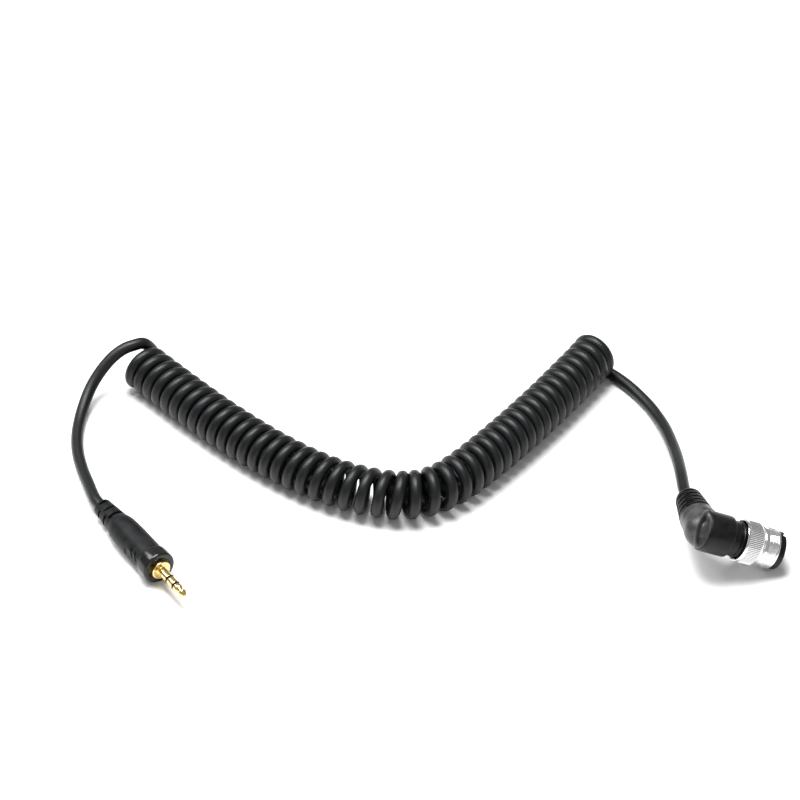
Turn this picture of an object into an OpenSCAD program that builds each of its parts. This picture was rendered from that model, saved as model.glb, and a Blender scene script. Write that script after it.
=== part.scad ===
/* [Cord] */
// Diameter of the round cord
cord_d = 3.2; // [3:0.1:3.2]
// Outer diameter of the coiled stretch
coil_d = 13; // [12:0.5:13]

/* [Jack plug] */
// Direction of the plug's axis on the table, in degrees
plug_heading = -57; // [-70:1:-40]
// Angle at which the plug's tip points up as it lies on its grip and rim
plug_tilt = 2.3; // [0:0.1:2.3]
// Length of the slotted strain relief
plug_relief_len = 8; // [8:0.1:9]
// Length of the moulded grip behind its front rim
grip_len = 17.2; // [17:0.1:18]
// Diameter of the grip's straight stretch
grip_d = 8.1; // [8.1:0.1:8.3]
// Length of the front rim
rim_len = 3.9; // [3:0.1:4]
// Diameter of the front rim
rim_d = 9.2; // [9:0.1:9.4]
// Diameter of the jack's shaft
jack_d = 2.5; // [2.5]
// Length of the jack's shaft in front of the rim's face
jack_len = 12.7; // [12.4:0.1:13]
// Diameter of the jack's collar
collar_d = 5.2; // [5:0.1:5.2]

/* [Camera connector] */
// Direction of the connector's axis on the table, in degrees
connector_heading = 7; // [0:1:15]
// Angle at which the connector's nose points down
connector_tilt = 26; // [20:1:30]
// Turn of the elbow about the connector's axis
connector_roll = 11; // [0:1:20]
// Length from the elbow's centre to the nose's front
connector_len = 22; // [22]
// Diameter of the barrel
barrel_d = 10.9; // [10.6:0.1:11]
// Length of the barrel in front of the elbow's centre
barrel_len = 7.3; // [6.8:0.1:7.3]
// Diameter of the neck between the barrel and the lock ring
neck_d = 9.3; // [9.2:0.1:9.3]
// Diameter of the lock ring's grip
ring_d = 11.4; // [11.2:0.1:11.8]
// Length of the lock ring's grip
ring_grip_len = 5; // [4:0.1:5.4]
// Diameter of the lock ring's threaded collar
ring_collar_d = 10.5; // [10.4:0.1:10.6]
// How far the lock ring slides back
ring_travel = 2.4; // [1:0.1:2.4]
// Diameter of the nose
nose_d = 10.1; // [9.8:0.1:10.1]
// Diameter of the elbow's ball
elbow_d = 9.8; // [9.6:0.1:10]
// Length of the ribbed strain relief on the elbow
elbow_relief_len = 10.2; // [10:0.1:12]

/* [Hidden] */

$fn = 64;
cord_r = cord_d / 2;
slip = 0.02;       // gap between two still parts that fit each other
run = 0.06;        // radial clearance of a part that turns or slides on another
eps = 0.01;
cut = 20;          // longer than anything that is cut through

// Where the two ends lie on the table, z up from it.
plug_xy = [-87.6, 16.8];
elbow_xy = [67.2, -3];
nose_lip = 0.3;
elbow_at = [
    elbow_xy[0], elbow_xy[1],
    (connector_len - nose_lip) * sin(connector_tilt) + nose_d / 2 * cos(connector_tilt)
];

// Heights along the plug's axis, from the cord's end to the tip.
z_grip = plug_relief_len;
z_rim = z_grip + grip_len;
z_face = z_rim + rim_len;
z_tip = z_face + jack_len;
tip_len = 4.2;
black_ring_len = 0.7;
ring_contact_len = 2.3;
z_tip_ring = z_tip - tip_len;
z_ring_front = z_tip_ring - black_ring_len;
z_ring_back = z_ring_front - ring_contact_len;
z_sleeve = z_ring_back - black_ring_len;
collar_proud = 1;
collar_back = 0.55;
sleeve_body_back = 5.7;
jack_r = jack_d / 2;
plug_at = [
    plug_xy[0], plug_xy[1],
    rim_d / 2 * cos(plug_tilt) - z_rim * sin(plug_tilt)
];
// Radii of the nested contacts and insulators, from the axis outwards.
rod_r = 0.4;
tube_r = [0.43, 0.6, 0.63, 0.8, 0.83, 0.98, 1.01];
mould_back = 2.7;
mould_r = 2.95;
mould_bore = 2.35;

// Heights along the connector's axis, from the elbow's centre to the nose.
z_nose = 20.2;
z_ring_back_edge = 10.4;
z_step = 14.6;
retainer_len = 0.55;
retainer_r = 4.88;
core_r = 4;
core_bore = 3.5;
core_back = 4.6;
spigot_bore = 3.2;
z_spigot = 17;
z_block = 14;
z_carrier = 12.4;
z_pin_back = 11.2;
contact_r = 0.4;
contact_circle = 2.3;
contact_inner = 0.8;
mouth_depth = 0.95;
arm_r = 4.65;
arm_len = 5.6;
arm_bore = 2.7;
cavity_r = 3.7;
ferrule_r = 2.4;

// The curly stretch's centreline on the table, and the two loose tails.
coil_route = [
    [-80, 70], [-75, 64.5], [-69, 58], [-63, 51.7], [-57, 45.7], [-51, 40.1], [-45, 34.9],
    [-39, 30.3], [-33, 26.2], [-27, 22.9], [-21, 20.4], [-15, 18.7], [-10, 18.1], [-5, 18.7],
    [0, 20.9], [5, 24.9], [10, 30.2], [15, 36], [20, 42.2], [25, 48.7], [30, 55.5],
    [35, 62.7], [39, 68.5], [42.5, 74]
];
plug_tail_route = [
    [-78.6, 71.7, 11.8], [-81, 70.5, 12.2], [-83.6, 69.5, 11.8], [-86.2, 68.1, 10.6],
    [-88.6, 66.3, 8.8], [-90.7, 64.2, 6.8], [-92.5, 61.5, 4.9], [-94, 57.5, 3.1], [-95.1, 52.3, 1.9],
    [-95.5, 46.3, 1.6], [-95, 39.9, 1.6], [-93.6, 33.5, 1.8], [-91.8, 27.3, 2.5]
];
elbow_tail_route = [
    [40.8, 75.1, 1.6], [44.4, 72.5, 1.6], [47.7, 69.5, 1.6], [50.8, 66, 1.6], [53.6, 62.1, 1.6],
    [56.2, 57.7, 1.7], [58.3, 52.8, 2.1], [59.9, 47.5, 3], [61, 41.7, 4.3], [61.9, 35.5, 5.9],
    [62.5, 29.2, 7.7], [62.9, 22.8, 9.4]
];
tail_sides = 8;
coil_sides = 16;
lead_in = 3;       // straight cord in front of each strain relief

plug_dir = [
    cos(plug_tilt) * cos(plug_heading), cos(plug_tilt) * sin(plug_heading), sin(plug_tilt)
];
// The elbow's arm points this way in the table's axes.
arm_dir = [
    sin(connector_roll) * cos(90 + connector_tilt) * cos(connector_heading)
        - cos(connector_roll) * sin(connector_heading),
    sin(connector_roll) * cos(90 + connector_tilt) * sin(connector_heading)
        + cos(connector_roll) * cos(connector_heading),
    -sin(connector_roll) * sin(90 + connector_tilt)
];
elbow_tail_end = elbow_at + (arm_len + elbow_relief_len) * arm_dir;

// ---- helpers ----

function unit(v) = v / norm(v);

// Direction of a route at its point i.
function heading(route, i) = unit(route[min(i + 1, len(route) - 1)] - route[max(i - 1, 0)]);

// One ring of n points round the centre c, square to the direction t.
function ring_points(c, t, r, n) =
    let (side = unit(cross(t, [0, 0, 1])), up = cross(side, t))
    [for (k = [0 : n - 1]) c + r * (cos(360 * k / n) * side + sin(360 * k / n) * up)];

// A closed tube of n sides along a route.
module tube(route, r, n) {
    last = len(route) - 1;
    points = [for (i = [0 : last]) each ring_points(route[i], heading(route, i), r, n)];
    walls = [
        for (i = [0 : last - 1], k = [0 : n - 1])
            let (a = i * n + k, b = i * n + (k + 1) % n)
            each [[a, b, b + n], [a, b + n, a + n]]
    ];
    caps = [[for (k = [n - 1 : -1 : 0]) k], [for (k = [0 : n - 1]) last * n + k]];
    polyhedron(points, concat(walls, caps));
}

// A straight round rod from p to q.
module rod(p, q, r) {
    d = q - p;
    translate(p)
        rotate([0, acos(d[2] / norm(d)), atan2(d[1], d[0])])
            cylinder(r = r, h = norm(d), $fn = 16);
}

// A round bush from height a to height b.
module bush(a, b, r_in, r_out) {
    difference() {
        translate([0, 0, a]) cylinder(r = r_out, h = b - a);
        translate([0, 0, a - eps]) cylinder(r = r_in, h = b - a + 2 * eps);
    }
}

module disc(a, b, r) {
    translate([0, 0, a]) cylinder(r = r, h = b - a);
}

module at_plug() {
    translate(plug_at) rotate([0, 90 - plug_tilt, plug_heading]) children();
}

module at_elbow() {
    translate(elbow_at)
        rotate([0, 90 + connector_tilt, connector_heading])
            rotate([0, 0, -connector_roll])
                children();
}

// Turns a shape that stands on the axis so that it lies along the elbow's arm.
module along_arm() {
    rotate([-90, 0, 0]) children();
}

// Slots across a strain relief: pairs that leave a core, turned 90 degrees at each level.
module relief_slots(first, pitch, count, width, core_r) {
    for (i = [0 : count - 1], side = [-1, 1])
        translate([0, 0, first + i * pitch])
            rotate([0, 0, 90 * (i % 2)])
                translate([side * (core_r + cut / 2), 0, 0])
                    cube([cut, cut, width], center = true);
}

// ---- jack plug ----

module plug_tip_contact() {
    neck_r = 0.8;
    head_r = 1.15;
    color("gold")
    at_plug()
        rotate_extrude()
            polygon([
                [0, z_face - 10.6], [rod_r, z_face - 10.6], [rod_r, z_tip_ring],
                [jack_r, z_tip_ring], [jack_r, z_tip - 3.2], [neck_r, z_tip - 2.3],
                [neck_r, z_tip - 2], [head_r, z_tip - 1.5], [head_r, z_tip - 1.2],
                [0.35, z_tip], [0, z_tip]
            ]);
}

module plug_tip_insulator() {
    color("black")
    at_plug()
        union() {
            bush(z_face - 9.2, z_ring_front, tube_r[0], tube_r[1]);
            bush(z_face - 9.2, z_face - 8.65, tube_r[0], 1.1);
            bush(z_ring_front, z_tip_ring - slip, tube_r[0], jack_r);
        }
}

module plug_ring_contact() {
    color("gold")
    at_plug()
        union() {
            bush(z_face - 8.6, z_ring_back, tube_r[2], tube_r[3]);
            bush(z_ring_back, z_ring_front - slip, tube_r[2], jack_r);
        }
}

module plug_ring_insulator() {
    color("black")
    at_plug()
        union() {
            bush(z_face - 6.3, z_sleeve, tube_r[4], tube_r[5]);
            bush(z_face - 6.3, z_face - sleeve_body_back - slip, tube_r[4], 1.6);
            bush(z_sleeve, z_ring_back - slip, tube_r[4], jack_r);
        }
}

// Outermost contact: shaft, collar, rear body and its solder tab.
module plug_sleeve_contact() {
    tab_len = 5;
    tab_r = 1.75;
    color("gold")
    at_plug()
        union() {
            difference() {
                union() {
                    disc(z_face - sleeve_body_back, z_face - collar_back, mould_bore - slip);
                    disc(z_face - collar_back, z_face + collar_proud, collar_d / 2);
                    disc(z_face + collar_proud - eps, z_sleeve - slip, jack_r);
                }
                disc(z_face - cut, z_tip, tube_r[6]);
            }
            translate([tab_r, -0.6, z_face - sleeve_body_back - tab_len])
                cube([0.3, 1.2, tab_len + eps]);
        }
}

// A washer on the axis with a tab that points to the cord.
module solder_lug(z, hole_r, outer_r, tab_r, tab_len) {
    thick = 0.35;
    bush(z, z + thick, hole_r, outer_r);
    translate([tab_r, -0.4, z - tab_len]) cube([0.25, 0.8, tab_len + thick]);
}

module plug_ring_lug() {
    color("goldenrod")
    at_plug()
        rotate([0, 0, 120]) solder_lug(z_face - 6.75, tube_r[3] + slip, 1.5, 1.18, 5);
}

module plug_tip_lug() {
    color("goldenrod")
    at_plug()
        rotate([0, 0, 240]) solder_lug(z_face - 9.7, rod_r + slip, 0.95, 0.62, 3.6);
}

// Hard shell round the lugs, inside the soft grip.
module plug_inner_mould() {
    z_back = z_grip + mould_back;
    color("ivory")
    at_plug()
        difference() {
            disc(z_back, z_face - collar_back - slip, mould_r);
            disc(z_back + 1, z_face, mould_bore);
            disc(z_back - eps, z_face, cord_r + slip);
        }
}

module plug_grip() {
    flat = 3.75;
    bar_depth = 0.3;
    color("#2b2d30")
    at_plug()
        difference() {
            rotate_extrude()
                polygon([
                    [cord_r + slip, z_grip], [3.25, z_grip], [3.5, z_grip + 1],
                    [3.78, z_grip + 2.3], [3.95, z_grip + 4.5], [grip_d / 2, z_grip + 8],
                    [grip_d / 2, z_rim], [mould_r + slip, z_rim],
                    [mould_r + slip, z_grip + mould_back - slip],
                    [cord_r + slip, z_grip + mould_back - slip]
                ]);
            for (side = [0, 180])
                rotate([0, 0, side]) {
                    translate([-4, flat, z_rim - 7]) cube([8, 2, 6.2]);
                    for (dz = [0, 1.9])
                        translate([0, flat - bar_depth, z_rim - 4.1 + dz])
                            rotate([0, 12, 0])
                                cube([2.6, 2, 0.8]);
                }
        }
}

module plug_front_rim() {
    wall = 0.6;
    round = 0.7;
    color("#1d1f21")
    at_plug()
        rotate_extrude()
            polygon([
                [mould_r + slip, z_rim + slip], [rim_d / 2 - 0.3, z_rim + slip],
                [rim_d / 2, z_rim + 0.3], [rim_d / 2, z_face - round],
                [rim_d / 2 - 0.2, z_face - 0.2], [rim_d / 2 - round, z_face],
                [collar_d / 2 + slip, z_face], [collar_d / 2 + slip, z_face - wall + 0.07],
                [mould_r + slip, z_face - wall + 0.07]
            ]);
}

module plug_strain_relief() {
    back_r = 2.45;
    color("#2b2d30")
    at_plug()
        difference() {
            rotate_extrude()
                polygon([
                    [cord_r + slip, 0], [back_r - 0.2, 0], [back_r, 0.3],
                    [3.2, z_grip - slip], [cord_r + slip, z_grip - slip]
                ]);
            relief_slots(1.2, 1.5, 5, 0.7, 2);
        }
}

module plug_cable_end() {
    color("#1d1f21")
    at_plug() disc(slip, z_grip + mould_back + 1.2, cord_r);
}

// Each inner wire runs from the cable's end to the end of its lug: angle, lug radius, height.
plug_wire_ends = [
    [0, 2.05, z_face - 9.8], [120, 1.45, z_face - 11], [240, 0.9, z_face - 12.6]
];

module plug_wires() {
    z_start = z_grip + mould_back + 1.25;
    for (w = plug_wire_ends)
        color("crimson")
        at_plug()
            rotate([0, 0, w[0]])
                rod([0.8, 0, z_start], [w[1] - 0.1, 0, w[2]], 0.3);
}

module plug_solder() {
    for (w = plug_wire_ends)
        color("silver")
        at_plug()
            rotate([0, 0, w[0]])
                translate([w[1] - 0.1, 0, w[2] + 0.25])
                    sphere(r = 0.36, $fn = 24);
}

// ---- cord ----

module cord_tail_plug() {
    color("#26282a")
    tube(concat(plug_tail_route, [plug_at - lead_in * plug_dir, plug_at]), cord_r, tail_sides);
}

module cord_coil() {
    color("#26282a")
    tube([for (p = coil_route) [p[0], p[1], coil_d / 2]], coil_d / 2, coil_sides);
}

module cord_tail_connector() {
    start_of_relief = elbow_tail_end + lead_in * arm_dir;
    color("#26282a")
    tube(concat(elbow_tail_route, [start_of_relief, elbow_tail_end]), cord_r, tail_sides);
}

// ---- camera connector ----

module elbow_strain_relief() {
    z_end = arm_len + elbow_relief_len;
    color("#2b2d30")
    at_elbow()
        along_arm()
            difference() {
                rotate_extrude()
                    polygon([
                        [cord_r + slip, arm_len + slip], [arm_r, arm_len + slip],
                        [3.5, z_end - 1.2], [2.7, z_end], [cord_r + slip, z_end]
                    ]);
                relief_slots(arm_len + 0.6, 0.95, 9, 0.45, 2.5);
            }
}

module elbow_cable_end() {
    color("#1d1f21")
    at_elbow() along_arm() disc(3.6, arm_len + elbow_relief_len - slip, cord_r);
}

module cable_ferrule() {
    color("silver")
    at_elbow() along_arm() bush(3.9, arm_len - 0.1, cord_r + slip, ferrule_r);
}

// Ball behind the barrel with a short arm, open inside for the wires.
module elbow_housing() {
    color("#3a3c3f")
    at_elbow()
        difference() {
            union() {
                sphere(d = elbow_d);
                along_arm() cylinder(r = arm_r, h = arm_len);
            }
            translate([0, 0, -0.2]) cylinder(r = barrel_d / 2 + slip, h = cut);
            sphere(r = cavity_r);
            along_arm() cylinder(r = arm_bore, h = cut);
        }
}

module barrel() {
    r = barrel_d / 2;
    bore = 4.4;
    round = 0.45;
    back = -0.2 + slip;
    color("#232527")
    at_elbow()
        difference() {
            rotate_extrude()
                polygon([
                    [bore, back], [r - round, back], [r, back + round],
                    [r, barrel_len - round], [r - round, barrel_len], [bore, barrel_len]
                ]);
            along_arm() cylinder(r = arm_bore, h = cut);
        }
}

module neck_bush() {
    z_front = z_step - run - retainer_len - ring_travel;
    color("#1d1f21")
    at_elbow()
        difference() {
            union() {
                disc(barrel_len - 2.1, barrel_len + slip, 4.38);
                disc(barrel_len + slip, z_front - run, neck_d / 2);
            }
            disc(0, cut, core_r + slip);
        }
}

module connector_core() {
    color("silver")
    at_elbow() bush(core_back, z_nose, core_bore, core_r);
}

// Black front end of the connector with its keyway.
module contact_nose() {
    mouth_r = 3.9;
    key_w = 1.6;
    color("#1a1b1c")
    at_elbow()
        difference() {
            rotate_extrude()
                polygon([
                    [spigot_bore, z_spigot], [core_bore - slip, z_spigot],
                    [core_bore - slip, z_nose + slip], [nose_d / 2, z_nose + slip],
                    [nose_d / 2, connector_len - nose_lip],
                    [nose_d / 2 - nose_lip, connector_len], [mouth_r, connector_len],
                    [mouth_r, connector_len - mouth_depth], [spigot_bore, connector_len - mouth_depth]
                ]);
            translate([-cut, -key_w / 2, connector_len - mouth_depth]) cube([cut, key_w, cut]);
        }
}

// Places of the ten contacts: eight on a circle and two inside it.
contact_places = concat(
    [for (i = [0 : 7]) contact_circle * [cos(45 * i + 22.5), sin(45 * i + 22.5)]],
    [[0, contact_inner], [0, -contact_inner]]
);

module contact_holes() {
    for (p = contact_places)
        translate([p[0], p[1], 0]) cylinder(r = contact_r + slip, h = 2 * cut, $fn = 24);
}

module contact_block() {
    color("#141516")
    at_elbow()
        difference() {
            disc(z_block + slip, connector_len - mouth_depth, spigot_bore - slip);
            contact_holes();
        }
}

module contact_carrier() {
    color("#5a4632")
    at_elbow()
        difference() {
            disc(z_carrier, z_block, core_bore - slip);
            contact_holes();
        }
}

module socket_contacts() {
    for (p = contact_places)
        color("gold")
        at_elbow()
            translate([p[0], p[1], 0])
                difference() {
                    translate([0, 0, z_pin_back])
                        cylinder(r = contact_r, h = connector_len - 1.4 - z_pin_back, $fn = 24);
                    translate([0, 0, z_spigot]) cylinder(r = 0.25, h = cut, $fn = 24);
                }
}

// A wire bends from the cable's end on the arm to the back of one contact.
wired_contacts = [3, 5, 0];
function wire_bend(p, q, steps) =
    let (corner = [p[0] / 2 + q[0] / 2, p[1] - 2.6, 2])
    [for (i = [0 : steps])
        let (t = i / steps) (1 - t) * (1 - t) * p + 2 * t * (1 - t) * corner + t * t * q];

module connector_wires() {
    wire_r = 0.3;
    for (i = [0 : 2])
        color("crimson")
        at_elbow()
            tube(
                wire_bend(
                    [0.8 * (i - 1), 3.55, 0.3 * i - 0.3],
                    [contact_places[wired_contacts[i]][0],
                     contact_places[wired_contacts[i]][1], z_pin_back - 0.1],
                    8
                ),
                wire_r, 6
            );
}

module connector_solder() {
    for (c = wired_contacts)
        color("silver")
        at_elbow()
            translate([contact_places[c][0], contact_places[c][1], z_pin_back])
                sphere(r = 0.5, $fn = 24);
}

// Knurled ring with a threaded collar. It turns on the core and slides back over the neck.
module lock_ring() {
    r = ring_d / 2;
    collar_r = ring_collar_d / 2;
    z_collar = z_ring_back_edge + ring_grip_len;
    groove_r = 5.1;
    undercut = 0.4;
    color("#d8d9db")
    at_elbow()
        rotate_extrude()
            polygon([
                [neck_d / 2 + 0.1, z_ring_back_edge], [r - 0.25, z_ring_back_edge],
                [r, z_ring_back_edge + 0.25], [r, z_collar - 0.4], [r - 0.3, z_collar],
                [collar_r - undercut, z_collar], [collar_r - undercut, z_collar + 0.4],
                [collar_r, z_collar + 0.5], [collar_r, z_nose - 0.15],
                [collar_r - 0.15, z_nose], [core_r + run, z_nose],
                [core_r + run, z_step], [groove_r, z_step],
                [groove_r, z_step - retainer_len - 2 * run],
                [neck_d / 2 + 0.1, z_step - retainer_len - 2 * run]
            ]);
}

// Split spring ring in the lock ring's groove, which stops it on the neck.
module ring_retainer() {
    gap = 1.6;
    color("#8f9194")
    at_elbow()
        difference() {
            bush(z_step - run - retainer_len, z_step - run, core_r + run, retainer_r);
            translate([0, -gap / 2, 0]) cube([cut, gap, cut]);
        }
}

plug_tip_contact();
plug_tip_insulator();
plug_ring_contact();
plug_ring_insulator();
plug_sleeve_contact();
plug_tip_lug();
plug_ring_lug();
plug_inner_mould();
plug_grip();
plug_front_rim();
plug_strain_relief();
plug_cable_end();
plug_wires();
plug_solder();
cord_tail_plug();
cord_coil();
cord_tail_connector();
elbow_strain_relief();
elbow_cable_end();
cable_ferrule();
elbow_housing();
barrel();
neck_bush();
connector_core();
contact_nose();
contact_block();
contact_carrier();
socket_contacts();
connector_wires();
connector_solder();
lock_ring();
ring_retainer();
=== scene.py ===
"""Looks of a curly remote release cord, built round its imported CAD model.

The jack plug, the curly cord and the camera connector are each a class that builds its meshes and
dresses them. Sizes are millimetres in the classes and become metres when a mesh is made.
"""

import logging
import math
from dataclasses import dataclass, replace
from enum import Enum
from typing import Callable, Iterable, Mapping, Optional, Sequence, Union

import bpy
import numpy as np
from mathutils import Matrix, Vector


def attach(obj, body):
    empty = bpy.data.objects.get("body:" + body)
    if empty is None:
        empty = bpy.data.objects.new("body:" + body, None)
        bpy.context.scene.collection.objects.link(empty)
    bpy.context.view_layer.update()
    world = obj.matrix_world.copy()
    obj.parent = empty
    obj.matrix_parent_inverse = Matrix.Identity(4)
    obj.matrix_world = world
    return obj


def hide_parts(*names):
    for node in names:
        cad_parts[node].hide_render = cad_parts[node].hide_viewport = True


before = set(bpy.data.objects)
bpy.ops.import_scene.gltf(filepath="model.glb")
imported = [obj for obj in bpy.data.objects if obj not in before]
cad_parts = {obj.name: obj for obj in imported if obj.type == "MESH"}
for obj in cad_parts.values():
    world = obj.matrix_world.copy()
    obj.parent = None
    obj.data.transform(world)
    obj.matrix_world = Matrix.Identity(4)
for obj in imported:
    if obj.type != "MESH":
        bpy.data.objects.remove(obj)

LOG = logging.getLogger("release_cord")
MM = 0.001

Colour = tuple[float, float, float]
Number = Union[float, "Term"]
Relief = Callable[[np.ndarray, np.ndarray, np.ndarray], tuple[np.ndarray, np.ndarray]]


class Body(Enum):
    """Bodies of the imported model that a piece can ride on."""

    CORD_SET = "cord_set"
    LOCKING_RING = "locking_ring"


class Slot(Enum):
    """Material slots of the record."""

    GOLD = "gold_plate"
    INSULATOR = "black_insulator"
    LUG = "lug_brass"
    MOULD = "white_mould"
    SOFT = "soft_moulding"
    GLOSS = "gloss_moulding"
    JACKET = "cord_jacket"
    WIRE = "wire_cover"
    SOLDER = "solder"
    STEEL = "steel"
    HARD = "hard_moulding"
    BOARD = "carrier_board"
    CHROME = "satin_chrome"


# ---- nodes ----


class Term:
    """A number that flows between nodes. Arithmetic on it adds Math nodes to its graph."""

    def __init__(self, graph: "Graph", socket: bpy.types.NodeSocket) -> None:
        """Wraps one output socket of a graph."""
        self.graph = graph
        self.socket = socket

    def _math(self, operation: str, *values: Number) -> "Term":
        """Adds one Math node.

        Args:
            operation: The node's operation.
            values: Its inputs, in order.

        Returns:
            The node's result.
        """
        node = self.graph.node("ShaderNodeMath", {"operation": operation}, dict(enumerate(values)))
        return Term(self.graph, node.outputs[0])

    def __add__(self, other: Number) -> "Term":
        """Sum."""
        return self._math("ADD", self, other)

    __radd__ = __add__

    def __sub__(self, other: Number) -> "Term":
        """Difference."""
        return self._math("SUBTRACT", self, other)

    def __rsub__(self, other: Number) -> "Term":
        """Difference from a plain number."""
        return self._math("SUBTRACT", other, self)

    def __mul__(self, other: Number) -> "Term":
        """Product."""
        return self._math("MULTIPLY", self, other)

    __rmul__ = __mul__

    def __truediv__(self, other: Number) -> "Term":
        """Quotient."""
        return self._math("DIVIDE", self, other)

    def __rtruediv__(self, other: Number) -> "Term":
        """Quotient of a plain number."""
        return self._math("DIVIDE", other, self)

    def __abs__(self) -> "Term":
        """Size without sign."""
        return self._math("ABSOLUTE", self)

    def least(self, other: Number) -> "Term":
        """The smaller of the two."""
        return self._math("MINIMUM", self, other)

    def most(self, other: Number) -> "Term":
        """The larger of the two."""
        return self._math("MAXIMUM", self, other)

    def whole(self) -> "Term":
        """The nearest whole number."""
        return self._math("ROUND", self)

    def sine(self) -> "Term":
        """Sine of an angle in radians."""
        return self._math("SINE", self)

    def rest_of(self, other: float) -> "Term":
        """What is left over a whole number of others, never negative."""
        return self._math("FLOORED_MODULO", self, other)

    def step(self, low: float, high: float) -> "Term":
        """A smooth step from 0 at low to 1 at high; high may be the smaller one."""
        node = self.graph.node(
            "ShaderNodeMapRange",
            {"interpolation_type": "SMOOTHSTEP"},
            {"Value": self, "From Min": low, "From Max": high},
        )
        return Term(self.graph, node.outputs[0])


class Graph:
    """A node tree that is filled one node at a time."""

    def __init__(self, tree: bpy.types.NodeTree) -> None:
        """Wraps a node tree."""
        self.tree = tree

    def node(
        self,
        kind: str,
        settings: Optional[Mapping[str, object]] = None,
        values: Optional[Mapping[Union[str, int], object]] = None,
    ) -> bpy.types.Node:
        """Adds one node.

        Args:
            kind: The node's type.
            settings: Its own settings, set first.
            values: Values, sockets or terms for its inputs, by name or place.

        Returns:
            The new node.
        """
        node = self.tree.nodes.new(kind)
        for name, value in (settings or {}).items():
            setattr(node, name, value)
        for key, value in (values or {}).items():
            if isinstance(value, Term):
                value = value.socket
            if isinstance(value, bpy.types.NodeSocket):
                self.tree.links.new(value, node.inputs[key])
            else:
                node.inputs[key].default_value = value
        return node

    def term(self, node: bpy.types.Node, output: Union[str, int] = 0) -> Term:
        """One output of a node as a number."""
        return Term(self, node.outputs[output])

    def blend(self, share: Number, low: object, high: object) -> bpy.types.NodeSocket:
        """Mixes two colours.

        Args:
            share: 0 for the first colour, 1 for the second.
            low: The first colour or a socket.
            high: The second colour or a socket.

        Returns:
            The mixed colour's socket.
        """
        settings = {"data_type": "RGBA", "blend_type": "MIX"}
        values = {"Factor": share}
        node = self.node("ShaderNodeMix", settings, values)
        for key, value in ((6, low), (7, high)):
            if isinstance(value, bpy.types.NodeSocket):
                self.tree.links.new(value, node.inputs[key])
            else:
                node.inputs[key].default_value = (*value, 1.0)
        return node.outputs[2]


class Shader(Graph):
    """The node graph of one material, with the patterns that the finishes share."""

    def __init__(self, name: str) -> None:
        """Makes an empty material.

        Args:
            name: The material's name.
        """
        self.material = bpy.data.materials.new(name)
        self.material.use_nodes = True
        super().__init__(self.material.node_tree)
        self.tree.nodes.clear()
        self.place = self.node("ShaderNodeTexCoord").outputs["Object"]

    def noise(self, size: float, detail: float = 2.0, rough: float = 0.5) -> Term:
        """Even noise over the surface.

        Args:
            size: Rough size of one blotch, in millimetres.
            detail: How many finer layers lie on it.
            rough: How strong the finer layers are.

        Returns:
            Values round one half.
        """
        values = {
            "Vector": self.place, "Scale": 1 / (size * MM), "Detail": detail, "Roughness": rough,
        }
        return self.term(self.node("ShaderNodeTexNoise", None, values))

    def pits(self, size: float) -> Term:
        """Distance to the nearest of many scattered points, in units of their spacing.

        Args:
            size: Spacing of the points, in millimetres.

        Returns:
            0 at a point and about 1 between them.
        """
        values = {"Vector": self.place, "Scale": 1 / (size * MM)}
        return self.term(self.node("ShaderNodeTexVoronoi", None, values))

    def along(self, origin: Vector, axis: Vector) -> Term:
        """Distance along an axis, in millimetres.

        Args:
            origin: Where it is 0.
            axis: Its direction.

        Returns:
            The distance.
        """
        moved = self.node(
            "ShaderNodeVectorMath", {"operation": "SUBTRACT"}, {0: self.place, 1: tuple(origin)}
        )
        dot = self.node(
            "ShaderNodeVectorMath",
            {"operation": "DOT_PRODUCT"},
            {0: moved.outputs[0], 1: tuple(axis / MM)},
        )
        return self.term(dot, "Value")

    def bump(self, height: Term, depth: float) -> bpy.types.NodeSocket:
        """Turns a height into a bent normal.

        Args:
            height: The height, 0 to 1.
            depth: How deep a height of 1 is, in millimetres.

        Returns:
            The normal's socket.
        """
        values = {"Height": height, "Distance": depth * MM, "Strength": 1.0}
        return self.node("ShaderNodeBump", None, values).outputs[0]

    def close(self, **values: object) -> bpy.types.Material:
        """Ends the graph in a Principled shader.

        Args:
            values: The shader's inputs, with underscores for spaces.

        Returns:
            The finished material.
        """
        inputs = {key.replace("_", " "): value for key, value in values.items()}
        shader = self.node("ShaderNodeBsdfPrincipled", None, inputs)
        self.node("ShaderNodeOutputMaterial", None, {"Surface": shader.outputs[0]})
        return self.material


# ---- finishes ----


@dataclass(frozen=True)
class Moulding:
    """Black or dark grey moulded plastic or rubber with a fine grain and uneven sheen."""

    name: str
    colour: Colour
    roughness: float
    shine: float = 0.3
    grain: float = 0.16
    depth: float = 0.008
    cloud: float = 2.4
    coat: float = 0.0

    def build(self) -> bpy.types.Material:
        """Makes the material."""
        shader = Shader(self.name)
        cloud = shader.noise(self.cloud, 3.0)
        grain = shader.noise(self.grain, 3.0, 0.6)
        scuff = shader.noise(0.7, 4.0, 0.65)
        pale = tuple(min(1.0, 1.5 * c + 0.004) for c in self.colour)
        dark = tuple(0.7 * c for c in self.colour)
        colour = shader.blend(cloud.step(0.3, 0.7), dark, pale)
        roughness = self.roughness + 0.12 * (scuff - 0.5) + 0.08 * (cloud - 0.5)
        return shader.close(
            Base_Color=colour,
            Roughness=roughness,
            Normal=shader.bump(grain, self.depth),
            Coat_Weight=self.coat,
            Coat_Roughness=0.25,
            Specular_IOR_Level=self.shine,
        )


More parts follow.
